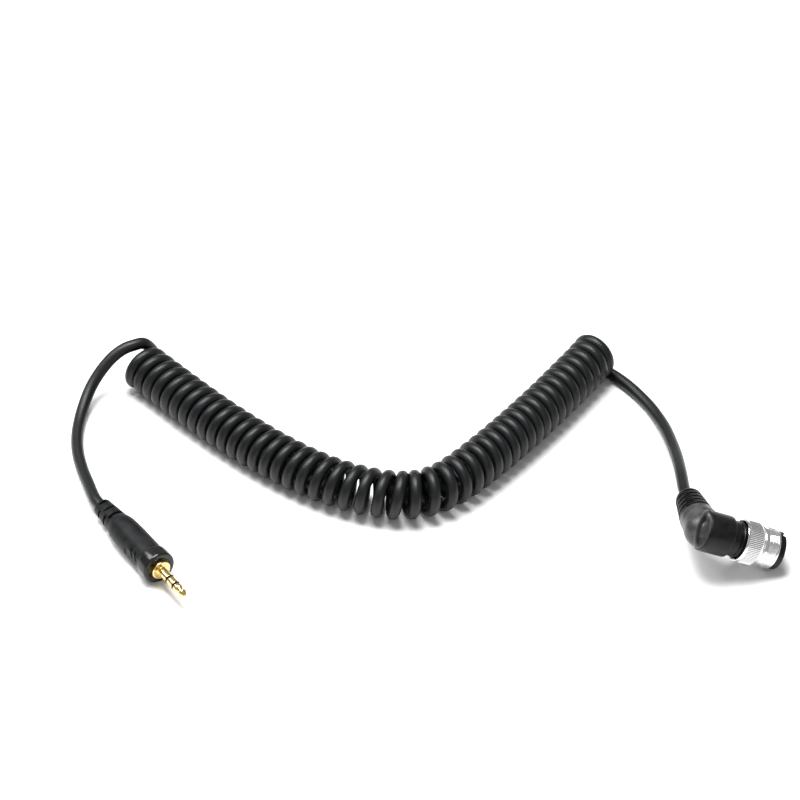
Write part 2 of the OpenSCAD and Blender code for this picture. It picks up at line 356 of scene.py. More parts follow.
@dataclass(frozen=True)
class Jacket:
    """Satin black cord jacket with fine leather-like grain."""

    name: str = "satin_black_jacket"
    colour: Colour = (0.003, 0.0034, 0.0038)
    roughness: float = 0.4
    cell: float = 0.34
    depth: float = 0.03

    def build(self) -> bpy.types.Material:
        """Makes the material."""
        shader = Shader(self.name)
        cell = shader.pits(self.cell)
        fine = shader.noise(0.12, 3.0, 0.6)
        cloud = shader.noise(5.0, 2.0)
        height = 0.65 * cell.step(0.05, 0.6) + 0.35 * fine
        pale = tuple(1.7 * c for c in self.colour)
        colour = shader.blend(0.6 * cloud + 0.4 * fine, self.colour, pale)
        roughness = self.roughness + 0.16 * (fine - 0.5) + 0.1 * (cloud - 0.5)
        return shader.close(
            Base_Color=colour,
            Roughness=roughness,
            Normal=shader.bump(height, self.depth),
            Specular_IOR_Level=0.3,
        )


@dataclass(frozen=True)
class TurnedMetal:
    """Plated metal with fine lines left by the lathe, and if wanted a band of painted shade in its
    base colour.
    """

    name: str
    colour: Colour
    roughness: float
    origin: Vector
    axis: Vector
    mottle: float = 0.82
    dark_from: float = 0.0
    dark_to: float = 0.0
    dark_edge: float = 0.08
    dark_share: float = 0.55
    lines: float = 0.12
    depth: float = 0.0015

    def build(self) -> bpy.types.Material:
        """Makes the material."""
        shader = Shader(self.name)
        height = shader.along(self.origin, self.axis)
        cloud = shader.noise(1.6, 3.0)
        wobble = shader.noise(0.5, 2.0)
        line = 0.5 + 0.5 * (height * (2 * math.pi / self.lines) + 4.0 * wobble).sine()
        deep = tuple(self.mottle * c for c in self.colour)
        colour = shader.blend(cloud.step(0.35, 0.65), deep, self.colour)
        # Painted shade: the base colour darkens over a band along the axis, standing in for the
        # shade in the knurl's valleys.
        if self.dark_to > self.dark_from:
            past_start = height.step(self.dark_from - self.dark_edge, self.dark_from)
            before_end = height.step(self.dark_to + self.dark_edge, self.dark_to)
            shade = tuple(self.dark_share * c for c in self.colour)
            colour = shader.blend(past_start * before_end, colour, shade)
        roughness = self.roughness + 0.06 * (cloud - 0.5) + 0.03 * line
        return shader.close(
            Base_Color=colour,
            Metallic=1.0,
            Roughness=roughness,
            Normal=shader.bump(line, self.depth),
        )


@dataclass(frozen=True)
class PlainMetal:
    """Bright metal of the inner parts, slightly blotched."""

    name: str
    colour: Colour
    roughness: float = 0.3

    def build(self) -> bpy.types.Material:
        """Makes the material."""
        shader = Shader(self.name)
        cloud = shader.noise(0.8, 4.0, 0.6)
        dull = tuple(0.75 * c for c in self.colour)
        return shader.close(
            Base_Color=shader.blend(cloud.step(0.35, 0.7), self.colour, dull),
            Metallic=1.0,
            Roughness=self.roughness + 0.2 * (cloud - 0.5),
            Normal=shader.bump(cloud, 0.01),
        )


@dataclass(frozen=True)
class Board:
    """Brown paper laminate with faint layers."""

    name: str = "paper_laminate"
    colour: Colour = (0.2, 0.12, 0.05)

    def build(self) -> bpy.types.Material:
        """Makes the material."""
        shader = Shader(self.name)
        fibre = shader.noise(0.25, 4.0, 0.7)
        pale = tuple(1.6 * c for c in self.colour)
        return shader.close(
            Base_Color=shader.blend(fibre.step(0.3, 0.7), self.colour, pale),
            Roughness=0.6 + 0.2 * (fibre - 0.5),
            Normal=shader.bump(fibre, 0.01),
        )


# ---- geometry ----


@dataclass(frozen=True)
class Corner:
    """One corner of a turned profile: radius, height and how far back its rounding starts."""

    r: float
    z: float
    cut: float = 0.0


def rounded(corners: Sequence[Corner], closed: bool = False, steps: int = 6) -> np.ndarray:
    """Rounds the corners of a profile.

    Args:
        corners: The corners, upwards on the outside.
        closed: True for a ring with a bore, whose last corner joins its first.
        steps: Points in one rounding.

    Returns:
        Points (radius, height) in millimetres.
    """
    place = [np.array([c.r, c.z]) for c in corners]
    last = len(corners) - 1
    points: list[np.ndarray] = []
    for i, corner in enumerate(corners):
        here = place[i]
        if corner.cut == 0 or (not closed and i in (0, last)):
            points.append(here)
            continue
        back, ahead = place[i - 1] - here, place[(i + 1) % (last + 1)] - here
        room = 0.48 * min(np.linalg.norm(back), np.linalg.norm(ahead))
        cut = min(corner.cut, room)
        start = here + back / np.linalg.norm(back) * cut
        end = here + ahead / np.linalg.norm(ahead) * cut
        for t in np.linspace(0, 1, steps):
            points.append((1 - t) ** 2 * start + 2 * t * (1 - t) * here + t**2 * end)
    return np.array(points)


def dense(profile: np.ndarray, step: float, closed: bool = False) -> np.ndarray:
    """Adds points to a profile's long stretches.

    Args:
        profile: Points (radius, height).
        step: Longest stretch that is left.
        closed: True if the last point joins the first.

    Returns:
        The profile with the added points.
    """
    ends = np.vstack([profile, profile[:1]]) if closed else profile
    out: list[np.ndarray] = []
    for a, b in zip(ends[:-1], ends[1:]):
        parts = max(1, math.ceil(float(np.linalg.norm(b - a)) / step))
        out.extend(a + (b - a) * k / parts for k in range(parts))
    if not closed:
        out.append(profile[-1])
    return np.array(out)


def mesh_object(
    name: str, points: np.ndarray, faces: Iterable[Sequence[int]]
) -> bpy.types.Object:
    """Makes a smooth-shaded mesh object.

    Args:
        name: The object's name.
        points: Its points, in metres.
        faces: Its faces as rows of point numbers.

    Returns:
        The object, linked to the scene.
    """
    mesh = bpy.data.meshes.new(name)
    mesh.from_pydata([tuple(p) for p in points], [], [list(f) for f in faces])
    mesh.validate()
    made = bpy.data.objects.new(name, mesh)
    bpy.context.scene.collection.objects.link(made)
    smooth(made)
    return made


def smooth(made: bpy.types.Object, angle: float = 40.0) -> None:
    """Shades a mesh smooth, but keeps edges sharper than an angle in degrees."""
    made.data.polygons.foreach_set("use_smooth", [True] * len(made.data.polygons))
    made.data.set_sharp_from_angle(angle=math.radians(angle))
    made.data.update()


def turned(
    name: str,
    profile: np.ndarray,
    sides: int,
    closed: bool = False,
    relief: Optional[Relief] = None,
) -> bpy.types.Object:
    """Turns a profile round its own Z axis.

    Args:
        name: The object's name.
        profile: Points (radius, height) in millimetres, upwards on the outside.
        sides: Points round the axis.
        closed: True for a ring with a bore; otherwise both ends lie on the axis.
        relief: Changes radius and height by the angle, for flats, notches and recesses.

    Returns:
        The object, in metres, still on its own axis.
    """
    rows = len(profile)
    angle = np.arange(sides) * 2 * math.pi / sides
    r = np.repeat(profile[:, :1], sides, axis=1)
    z = np.repeat(profile[:, 1:], sides, axis=1)
    turn = np.repeat(angle[None, :], rows, axis=0)
    if relief:
        r, z = relief(r, z, turn)
    points = np.stack([r * np.cos(turn), r * np.sin(turn), z], axis=-1).reshape(-1, 3) * MM
    faces: list[tuple[int, ...]] = []
    for i in range(rows if closed else rows - 1):
        j = (i + 1) % rows
        for k in range(sides):
            n = (k + 1) % sides
            faces.append((i * sides + k, i * sides + n, j * sides + n, j * sides + k))
    if closed:
        return mesh_object(name, points, faces)
    inner = points[sides:-sides]
    ends = np.array([points[0], points[-sides]])
    ends[:, :2] = 0
    points = np.vstack([ends[:1], inner, ends[1:]])
    top = len(points) - 1
    kept: list[tuple[int, ...]] = []
    for face in faces:
        moved = (
            0 if f < sides else top if f >= (rows - 1) * sides else f - sides + 1 for f in face
        )
        unique = tuple(dict.fromkeys(moved))
        if len(unique) > 2:
            kept.append(unique)
    return mesh_object(name, points, kept)


def placed(made: bpy.types.Object, place: Matrix) -> bpy.types.Object:
    """Moves a mesh from its own axis into the row frame, and leaves its object at the origin."""
    made.data.transform(place)
    made.data.update()
    return made


class GeometryTree(Graph):
    """A Geometry Nodes tree with named inputs, run once on an object to make a plain mesh."""

    def __init__(self, name: str, inputs: Mapping[str, Union[int, float]]) -> None:
        """Makes the tree's sockets.

        Args:
            name: The tree's name.
            inputs: Its named inputs and their values; whole numbers become integer sockets.
        """
        tree = bpy.data.node_groups.new(name, "GeometryNodeTree")
        super().__init__(tree)
        tree.interface.new_socket("Geometry", in_out="INPUT", socket_type="NodeSocketGeometry")
        self.values = dict(inputs)
        self.sockets: dict[str, str] = {}
        for key, value in inputs.items():
            kind = "NodeSocketInt" if isinstance(value, int) else "NodeSocketFloat"
            made = tree.interface.new_socket(key, in_out="INPUT", socket_type=kind)
            self.sockets[key] = made.identifier
        tree.interface.new_socket("Geometry", in_out="OUTPUT", socket_type="NodeSocketGeometry")
        self.start = self.node("NodeGroupInput")
        self.geometry = self.start.outputs["Geometry"]

    def input(self, name: str) -> Term:
        """One named input as a number."""
        return self.term(self.start, name)

    def circle(self, points: Number, radius: str) -> bpy.types.NodeSocket:
        """A circle curve.

        Args:
            points: How many points it has.
            radius: The named input that holds its radius.

        Returns:
            The curve.
        """
        values = {"Resolution": points, "Radius": self.input(radius)}
        return self.node("GeometryNodeCurvePrimitiveCircle", {"mode": "RADIUS"}, values).outputs[0]

    def sweep(
        self, curve: bpy.types.NodeSocket, profile: bpy.types.NodeSocket, caps: bool = True
    ) -> bpy.types.NodeSocket:
        """Sweeps a profile along a curve.

        Args:
            curve: The curve.
            profile: The profile's curve.
            caps: True to close the ends.

        Returns:
            The mesh.
        """
        values = {"Curve": curve, "Profile Curve": profile, "Fill Caps": caps}
        return self.node("GeometryNodeCurveToMesh", None, values).outputs[0]

    def repeat(
        self, points: bpy.types.NodeSocket, piece: bpy.types.NodeSocket
    ) -> bpy.types.NodeSocket:
        """Instances one piece on points."""
        values = {"Points": points, "Instance": piece}
        return self.node("GeometryNodeInstanceOnPoints", None, values).outputs[0]

    def lift(self, geometry: bpy.types.NodeSocket, height: str) -> bpy.types.NodeSocket:
        """Moves geometry up by the value of a named input."""
        up = self.node("ShaderNodeCombineXYZ", None, {2: self.input(height)})
        values = {"Geometry": geometry, "Translation": up.outputs[0]}
        return self.node("GeometryNodeTransform", None, values).outputs[0]

    def close(self, geometry: bpy.types.NodeSocket, finish: bpy.types.Material) -> None:
        """Ends the tree: instances become mesh, and the mesh gets its material.

        Args:
            geometry: What the tree has made.
            finish: The material.
        """
        real = self.node("GeometryNodeRealizeInstances", None, {0: geometry})
        dressed = self.node(
            "GeometryNodeSetMaterial", None, {"Geometry": real.outputs[0], "Material": finish}
        )
        self.node("NodeGroupOutput", None, {0: dressed.outputs[0]})

    def run(self, name: str, source: bpy.types.Object) -> bpy.types.Object:
        """Runs the tree on an object and keeps only the resulting mesh.

        Args:
            name: The new object's name.
            source: The object that the tree starts from; it is removed.

        Returns:
            A plain mesh object in the source's own coordinates.
        """
        modifier = source.modifiers.new(name, "NODES")
        modifier.node_group = self.tree
        for key, value in self.values.items():
            modifier[self.sockets[key]] = value
        graph = bpy.context.evaluated_depsgraph_get()
        mesh = bpy.data.meshes.new_from_object(
            source.evaluated_get(graph), preserve_all_data_layers=True, depsgraph=graph
        )
        source.modifiers.remove(modifier)
        bpy.data.objects.remove(source)
        mesh.name = name
        made = bpy.data.objects.new(name, mesh)
        bpy.context.scene.collection.objects.link(made)
        return made


def dress(
    made: bpy.types.Object,
    finish: bpy.types.Material,
    body: Body = Body.CORD_SET,
    stands_for: Sequence[str] = (),
) -> bpy.types.Object:
    """Gives a piece its material, its body and the CAD nodes that it stands for.

    Args:
        made: The piece.
        finish: Its material.
        body: The body that it rides on.
        stands_for: CAD nodes that it replaces.

    Returns:
        The piece.
    """
    made.data.materials.clear()
    made.data.materials.append(finish)
    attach(made, body.value)
    if stands_for:
        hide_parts(*stands_for)
    made.data.calc_loop_triangles()
    LOG.info("%s: %d triangles", made.name, len(made.data.loop_triangles))
    return made


def dress_node(name: str, finish: bpy.types.Material) -> None:
    """Gives a carried-over CAD node its material.

    Args:
        name: The node.
        finish: Its material.
    """
    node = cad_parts[name]
    node.data.materials.clear()
    node.data.materials.append(finish)
    LOG.info("%s: carried over", name)


def smooth_step(x: np.ndarray, low: float, high: float) -> np.ndarray:
    """A smooth step from 0 at low to 1 at high; high may be the smaller one."""
    t = np.clip((x - low) / (high - low), 0, 1)
    return t * t * (3 - 2 * t)


def slotted_boot(
    name: str,
    profile: np.ndarray,
    sides: int,
    first: float,
    pitch: float,
    levels: int,
    core: float,
    finish: bpy.types.Material,
    slot_width: float = 0.5,
) -> bpy.types.Object:
    """Cuts pairs of slots across a turned strain relief, 90 degrees on from level to level.

    Args:
        name: The object's name.
        profile: The strain relief's profile without slots.
        sides: Points round the axis.
        first: Height of the first level.
        pitch: From level to level.
        levels: Number of levels.
        core: Half the width that each pair of slots leaves.
        finish: The material.
        slot_width: Width of a slot.

    Returns:
        The slotted strain relief, on its own axis.
    """
    tree = GeometryTree(
        name + "_slots",
        {
            "First level": first * MM,
            "Pitch": pitch * MM,
            "Levels": levels,
            "Core": core * MM,
            "Slot width": slot_width * MM,
        },
    )
    place = tree.node("GeometryNodeInputPosition").outputs[0]
    split = tree.node("ShaderNodeSeparateXYZ", None, {0: place})
    x, y, z = (tree.term(split, i) for i in range(3))
    level = ((z - tree.input("First level")) / tree.input("Pitch")).whole()
    level = level.most(0.0).least(tree.input("Levels") - 1.0)
    away = abs(z - tree.input("First level") - level * tree.input("Pitch"))
    half = tree.input("Slot width") * 0.5
    inside = (away / half).step(1.15, 0.85)
    odd = level.rest_of(2.0)
    across = abs(x) * (1.0 - odd) + abs(y) * odd
    shrink = (tree.input("Core") / across.most(1e-6)).least(1.0)
    scale = 1.0 - inside * (1.0 - shrink)
    # A slot narrows only the direction it is cut in.
    moved = tree.node(
        "ShaderNodeCombineXYZ",
        None,
        {0: x * (scale * (1.0 - odd) + odd), 1: y * (scale * odd + (1.0 - odd)), 2: z},
    )
    set_place = tree.node(
        "GeometryNodeSetPosition", None, {"Geometry": tree.geometry, "Position": moved.outputs[0]}
    )
    tree.close(set_place.outputs[0], finish)
    made = tree.run(name, turned(name + "_blank", profile, sides, closed=True))
    smooth(made, 60.0)
    return made


# ---- the frame's two axes ----


@dataclass(frozen=True)
class Layout:
    """Where the two ends lie. It repeats the part's own layout."""

    plug_xy: tuple[float, float] = (-87.6, 16.8)
    plug_heading: float = -57.0
    plug_tilt: float = 2.3
    rim_at: float = 25.2
    rim_r: float = 4.6
    elbow_xy: tuple[float, float] = (67.2, -3.0)
    heading: float = 7.0
    tilt: float = 26.0
    roll: float = 11.0
    nose_reach: float = 21.7
    nose_r: float = 5.05
    arm_len: float = 5.6
    relief_len: float = 10.2

    def plug(self) -> Matrix:
        """From the plug's own axis, cord's end at 0 and tip upwards, to the row frame."""
        tilt = math.radians(self.plug_tilt)
        height = self.rim_r * math.cos(tilt) - self.rim_at * math.sin(tilt)
        turn = Matrix.Rotation(math.radians(self.plug_heading), 4, "Z") @ Matrix.Rotation(
            math.pi / 2 - tilt, 4, "Y"
        )
        return Matrix.Translation(Vector((*self.plug_xy, height)) * MM) @ turn

    def elbow(self) -> Matrix:
        """From the connector's own axis, elbow's centre at 0 and nose upwards, to the row frame."""
        tilt = math.radians(self.tilt)
        height = self.nose_reach * math.sin(tilt) + self.nose_r * math.cos(tilt)
        turn = Matrix.Rotation(math.radians(self.heading), 4, "Z") @ Matrix.Rotation(
            math.pi / 2 + tilt, 4, "Y"
        )
        roll = Matrix.Rotation(-math.radians(self.roll), 4, "Z")
        return Matrix.Translation(Vector((*self.elbow_xy, height)) * MM) @ turn @ roll

    def arm(self) -> Matrix:
        """From the elbow arm's own axis, elbow's centre at 0 and cord upwards, to the row frame."""
        return self.elbow() @ Matrix.Rotation(-math.pi / 2, 4, "X")


def axis_of(place: Matrix) -> Vector:
    """Direction of a placed axis."""
    return (place.to_3x3() @ Vector((0, 0, 1))).normalized()


def point_on(place: Matrix, height: float) -> Vector:
    """The point at a height in millimetres on a placed axis."""
    return place @ Vector((0, 0, height * MM))


# ---- the cord ----


@dataclass
class CurlyCord:
    """The whole cord: a loose tail, the curly stretch and the other loose tail."""

    layout: Layout
    cord_d: float = 3.2
    coil_d: float = 13.0
    turns: float = 46.5
    first_turn: float = 0.2
    points_per_turn: int = 16
    sides: int = 14
    step: float = 1.1
    lead_in: float = 3.0
    # How far both ends go on inside their strain reliefs.
    tuck: float = 0.8
    # Turns lean most round the bend, at the slackest turn, and a little everywhere.
    lean: float = 0.2
    even_lean: float = 0.08
    slack_turn: float = 24.0
    slack_reach: float = 5.5
    # Half the stretch of route over which its course is measured.
    course_reach: float = 2.0
    coil_route: tuple[tuple[float, float], ...] = (
        (-80, 70), (-75, 64.5), (-69, 58), (-63, 51.7), (-57, 45.7), (-51, 40.1), (-45, 34.9),
        (-39, 30.3), (-33, 26.2), (-27, 22.9), (-21, 20.4), (-15, 18.7), (-10, 18.1), (-5, 18.7),
        (0, 20.9), (5, 24.9), (10, 30.2), (15, 36), (20, 42.2), (25, 48.7), (30, 55.5),
        (35, 62.7), (39, 68.5), (42.5, 74),
    )
    plug_tail: tuple[tuple[float, float, float], ...] = (
        (-78.6, 71.7, 11.8), (-81, 70.5, 12.2), (-83.6, 69.5, 11.8), (-86.2, 68.1, 10.6),
        (-88.6, 66.3, 8.8), (-90.7, 64.2, 6.8), (-92.5, 61.5, 4.9), (-94, 57.5, 3.1),
        (-95.1, 52.3, 1.9), (-95.5, 46.3, 1.6), (-95, 39.9, 1.6), (-93.6, 33.5, 1.8),
        (-91.8, 27.3, 2.5),
    )
    elbow_tail: tuple[tuple[float, float, float], ...] = (
        (44.4, 72.5, 1.6), (47.7, 69.5, 1.6), (50.8, 66, 1.6), (53.6, 62.1, 1.6),
        (56.2, 57.7, 1.7), (58.3, 52.8, 2.1), (59.9, 47.5, 3), (61, 41.7, 4.3),
        (61.9, 35.5, 5.9), (62.5, 29.2, 7.7), (62.9, 22.8, 9.4),
    )
    # How far apart neighbouring turns lie: turn, millimetres.
    spacing: tuple[tuple[float, float], ...] = (
        (0, 3.4), (13, 3.45), (18, 3.7), (21, 3.95), (27, 3.95), (30, 3.5), (33, 3.2), (46.5, 3.15),
    )

    def _spread(self, count: int = 2000) -> tuple[np.ndarray, np.ndarray]:
        """Share of the route's length that is used up at each turn.

        Args:
            count: Number of samples.

        Returns:
            Turns, and each one's share of the whole way.
        """
        turn = np.linspace(0, self.turns, count)
        knots = np.array(self.spacing)
        gap = np.interp(turn, knots[:, 0], knots[:, 1])
        way = np.concatenate([[0], np.cumsum((gap[1:] + gap[:-1]) / 2 * np.diff(turn))])
        return turn, way / way[-1]

    def _helix(self) -> np.ndarray:
        """Centreline points of the curly stretch, in millimetres."""
        route = through(np.array([(x, y, self.coil_d / 2) for x, y in self.coil_route]), 0.25)
        reach = np.concatenate([[0], np.cumsum(np.linalg.norm(np.diff(route, axis=0), axis=1))])
        turns, share = self._spread()
        radius = (self.coil_d - self.cord_d) / 2
        points = []

        def at(distance: float) -> np.ndarray:
            """The route's point at a distance along it."""
            return np.array([np.interp(distance, reach, route[:, i]) for i in range(3)])

        for turn in np.arange(self.first_turn, self.turns, 1 / self.points_per_turn):
            far = float(np.interp(turn, turns, share)) * reach[-1]
            ahead = min(far + self.course_reach, reach[-1])
            behind = max(far - self.course_reach, 0.0)
            course = at(ahead) - at(behind)
            course /= np.linalg.norm(course)
            side = np.cross(course, (0, 0, 1))
            angle = 2 * math.pi * turn
            slack = math.exp(-(((turn - self.slack_turn) / self.slack_reach) ** 2))
            lean = self.lean * slack * math.sin(1.9 * turn + 0.7)
            lean += self.even_lean * math.sin(2.7 * turn)
            up = np.array([0.0, 0.0, math.cos(angle) * radius])
            across = math.sin(angle) * radius * side
            points.append(at(far) + up - across + lean * math.cos(angle) * course)
        return np.array(points)

    def centreline(self) -> np.ndarray:
        """The cord's whole centreline from the plug to the connector, in millimetres."""
        plug, arm = self.layout.plug(), self.layout.arm()
        arm_end = self.layout.arm_len + self.layout.relief_len
        plug_end = [point_on(plug, z) / MM for z in (self.tuck, 0, -self.lead_in)]
        elbow_end = [
            point_on(arm, z) / MM for z in (arm_end + self.lead_in, arm_end, arm_end - self.tuck)
        ]
        control = [*plug_end, *self.plug_tail[::-1], *self._helix(), *self.elbow_tail, *elbow_end]
        return through(np.array([tuple(p) for p in control]), self.step)

    def build(self, finish: bpy.types.Material) -> bpy.types.Object:
        """Args:
            finish: The jacket's material.

        Returns:
            The cord.
        """
        line = self.centreline() * MM
        curve = bpy.data.curves.new("cord_line", "CURVE")
        curve.dimensions = "3D"
        spline = curve.splines.new("POLY")
        spline.points.add(len(line) - 1)
        spline.points.foreach_set("co", np.hstack([line, np.ones((len(line), 1))]).ravel())
        source = bpy.data.objects.new("cord_line", curve)
        bpy.context.scene.collection.objects.link(source)
        tree = GeometryTree(
            "swept_cord", {"Cord radius": self.cord_d / 2 * MM, "Sides": self.sides}
        )
        tube = tree.sweep(tree.geometry, tree.circle(tree.input("Sides"), "Cord radius"))
        soft = tree.node("GeometryNodeSetShadeSmooth", None, {0: tube})
        tree.close(soft.outputs[0], finish)
        made = tree.run("curly_cord", source)
        nodes = ("cord_tail_plug", "cord_coil", "cord_tail_connector")
        dress(made, finish, stands_for=nodes)
        tuple(point_on(self.layout.plug(), 0))
        return made


def through(control: np.ndarray, step: float) -> np.ndarray:
    """A smooth line through points, with its own points about a step apart.

    Args:
        control: The points.
        step: Wanted spacing.

    Returns:
        Points of a centripetal spline.
    """
    ends = np.vstack([2 * control[0] - control[1], control, 2 * control[-1] - control[-2]])
    out: list[np.ndarray] = []
    for p0, p1, p2, p3 in zip(ends, ends[1:], ends[2:], ends[3:]):
        t0 = 0.0
        t1 = t0 + math.sqrt(float(np.linalg.norm(p1 - p0)))
        t2 = t1 + math.sqrt(float(np.linalg.norm(p2 - p1)))
        t3 = t2 + math.sqrt(float(np.linalg.norm(p3 - p2)))
        parts = max(1, math.ceil(float(np.linalg.norm(p2 - p1)) / step))
        for k in range(parts):
            t = t1 + (t2 - t1) * k / parts
            a1 = (t1 - t) / (t1 - t0) * p0 + (t - t0) / (t1 - t0) * p1
            a2 = (t2 - t) / (t2 - t1) * p1 + (t - t1) / (t2 - t1) * p2
            a3 = (t3 - t) / (t3 - t2) * p2 + (t - t2) / (t3 - t2) * p3
            b1 = (t2 - t) / (t2 - t0) * a1 + (t - t0) / (t2 - t0) * a2
            b2 = (t3 - t) / (t3 - t1) * a2 + (t - t1) / (t3 - t1) * a3
            out.append((t2 - t) / (t2 - t1) * b1 + (t - t1) / (t2 - t1) * b2)
    out.append(control[-1])
    return np.array(out)


# ---- the jack plug ----


@dataclass
class JackPlug:
    """The three-pole jack plug with its grip, front rim and slotted strain relief."""

    layout: Layout
    relief_len: float = 8.0
    rim_at: float = 25.2
    face_at: float = 29.1
    sleeve_end: float = 33.88
    ring_from: float = 34.6
    ring_to: float = 36.88
    tip_from: float = 37.6
    tip_end: float = 41.8
    shaft_r: float = 1.25
    collar_r: float = 2.6
    grip_r: float = 4.05
    rim_r: float = 4.6
    flat: float = 3.75
    bar_depth: float = 0.34
    bar_slant: float = 0.21
    notch_angle: float = 228.0
    notch_depth: float = 0.8
    cord_r: float = 1.62

    def _boot(self, finish: bpy.types.Material) -> bpy.types.Object:
        """The slotted strain relief."""
        end = self.relief_len
        profile = rounded(
            [
                Corner(self.cord_r, end), Corner(self.cord_r, 0), Corner(2.45, 0, 0.4),
                Corner(3.2, end - 0.02, 0.1),
            ],
            closed=True,
        )
        return slotted_boot(
            "plug_boot", dense(profile, 0.07, True), 96, 1.2, 1.5, 5, 1.9, finish, 0.75
        )

    def _grip(self) -> bpy.types.Object:
        """The soft grip with its two flats and slanted bars."""
        start, end, flat = self.relief_len, self.rim_at, self.flat
        profile = rounded(
            [
                Corner(self.cord_r, end), Corner(self.cord_r, start), Corner(3.22, start, 0.12),
                Corner(3.5, start + 1, 0.4), Corner(3.78, start + 2.3, 0.6),
                Corner(3.95, start + 4.5, 1), Corner(self.grip_r, start + 8, 1),
                Corner(self.grip_r, end, 0.15),
            ],
            closed=True,
        )

        def relief(
            r: np.ndarray, z: np.ndarray, turn: np.ndarray
        ) -> tuple[np.ndarray, np.ndarray]:
            """Cuts the flats, then the bars in them."""
            x, y = r * np.cos(turn), r * np.sin(turn)
            outer = r > 2.5
            window = smooth_step(z, end - 7.2, end - 6.8) * smooth_step(z, end - 0.7, end - 1.0)
            depth = np.maximum(np.abs(y) - flat, 0) * window
            side = np.sign(y)
            down = x * side
            for low in (end - 3.7, end - 1.8):
                across = z - low + self.bar_slant * down
                bar = smooth_step(np.abs(across), 0.48, 0.32)
                bar *= smooth_step(down, -0.1, 0.15) * smooth_step(down, 2.75, 2.5)
                depth = depth + self.bar_depth * bar * (np.abs(y) > 1.5)
            y = y - side * depth * outer
            return np.hypot(x, y), z

        return turned("grip_moulding", dense(profile, 0.1, True), 180, True, relief)

    def _rim(self) -> bpy.types.Object:
        """The glossy front rim with a shallow dish round the collar."""
        r, start, face = self.rim_r, self.rim_at + 0.02, self.face_at
        profile = rounded(
            [
                Corner(2.97, start), Corner(r - 0.04, start, 0.3), Corner(r, face - 1.9, 0.5),
                Corner(r - 0.1, face, 0.85), Corner(3.2, face, 0.2),
                Corner(2.85, face - 0.35, 0.15), Corner(2.62, face - 0.35),
                Corner(2.62, face - 0.6), Corner(2.97, face - 0.6),
            ],
            closed=True,
        )
        return turned("front_rim_ring", dense(profile, 0.4, True), 128, True)

    def _sleeve(self) -> bpy.types.Object:
        """The sleeve contact with its collar and the collar's small notch."""
        face, end = self.face_at, self.sleeve_end
        profile = rounded(
            [
                Corner(0, face - 5), Corner(2.3, face - 5), Corner(2.3, face - 0.55),
                Corner(self.collar_r, face - 0.55), Corner(self.collar_r, face + 1, 0.22),
                Corner(self.shaft_r + 0.02, face + 1.08, 0.18), Corner(self.shaft_r, end, 0.05),
                Corner(0, end),
            ]
        )

        def relief(
            r: np.ndarray, z: np.ndarray, turn: np.ndarray
        ) -> tuple[np.ndarray, np.ndarray]:
            """Sinks a short notch into the collar's face."""
            past = turn - math.radians(self.notch_angle)
            away = np.abs((past + math.pi) % (2 * math.pi) - math.pi)
            notch = smooth_step(away, 0.2, 0.12)
            notch = notch * smooth_step(r, 1.45, 1.6) * smooth_step(r, 2.45, 2.3)
            return r, z - self.notch_depth * notch * (z > face + 0.5)

        return turned("sleeve_contact_turned", dense(profile, 0.12), 160, False, relief)

    def _ring(self) -> bpy.types.Object:
        """The ring contact."""
        profile = rounded(
            [
                Corner(1.02, self.ring_from), Corner(self.shaft_r, self.ring_from, 0.05),
                Corner(self.shaft_r, self.ring_to, 0.05), Corner(1.02, self.ring_to),
            ],
            closed=True,
        )
        return turned("ring_contact_turned", profile, 96, True)

    def _tip(self) -> bpy.types.Object:
        """The tip contact with its neck and rounded point."""
        end = self.tip_end
        profile = rounded(
            [
                Corner(0, self.tip_from - 0.02), Corner(self.shaft_r, self.tip_from - 0.02, 0.05),
                Corner(self.shaft_r, end - 3.2, 0.3), Corner(0.8, end - 2.3, 0.25),
                Corner(0.8, end - 2, 0.15), Corner(1.15, end - 1.5, 0.3),
                Corner(1.12, end - 1.2, 0.25), Corner(0.35, end - 0.02, 0.14), Corner(0, end),
            ]
        )
        return turned("tip_contact_turned", profile, 96)

    def build(
        self, soft: bpy.types.Material, gloss: bpy.types.Material, gold: bpy.types.Material
    ) -> None:
        """Builds and dresses the plug's outer pieces.

        Args:
            soft: The grip's material.
            gloss: The front rim's material.
            gold: The contacts' material.
        """
        place = self.layout.plug()
        pieces = (
            (self._boot(soft), soft, Slot.SOFT, "plug_strain_relief"),
            (self._grip(), soft, Slot.SOFT, "plug_grip"),
            (self._rim(), gloss, Slot.GLOSS, "plug_front_rim"),
            (self._sleeve(), gold, Slot.GOLD, "plug_sleeve_contact"),
            (self._ring(), gold, Slot.GOLD, "plug_ring_contact"),
            (self._tip(), gold, Slot.GOLD, "plug_tip_contact"),
        )
        for made, finish, slot, node in pieces:
            dress(placed(made, place), finish, stands_for=(node,))


# ---- the camera connector ----


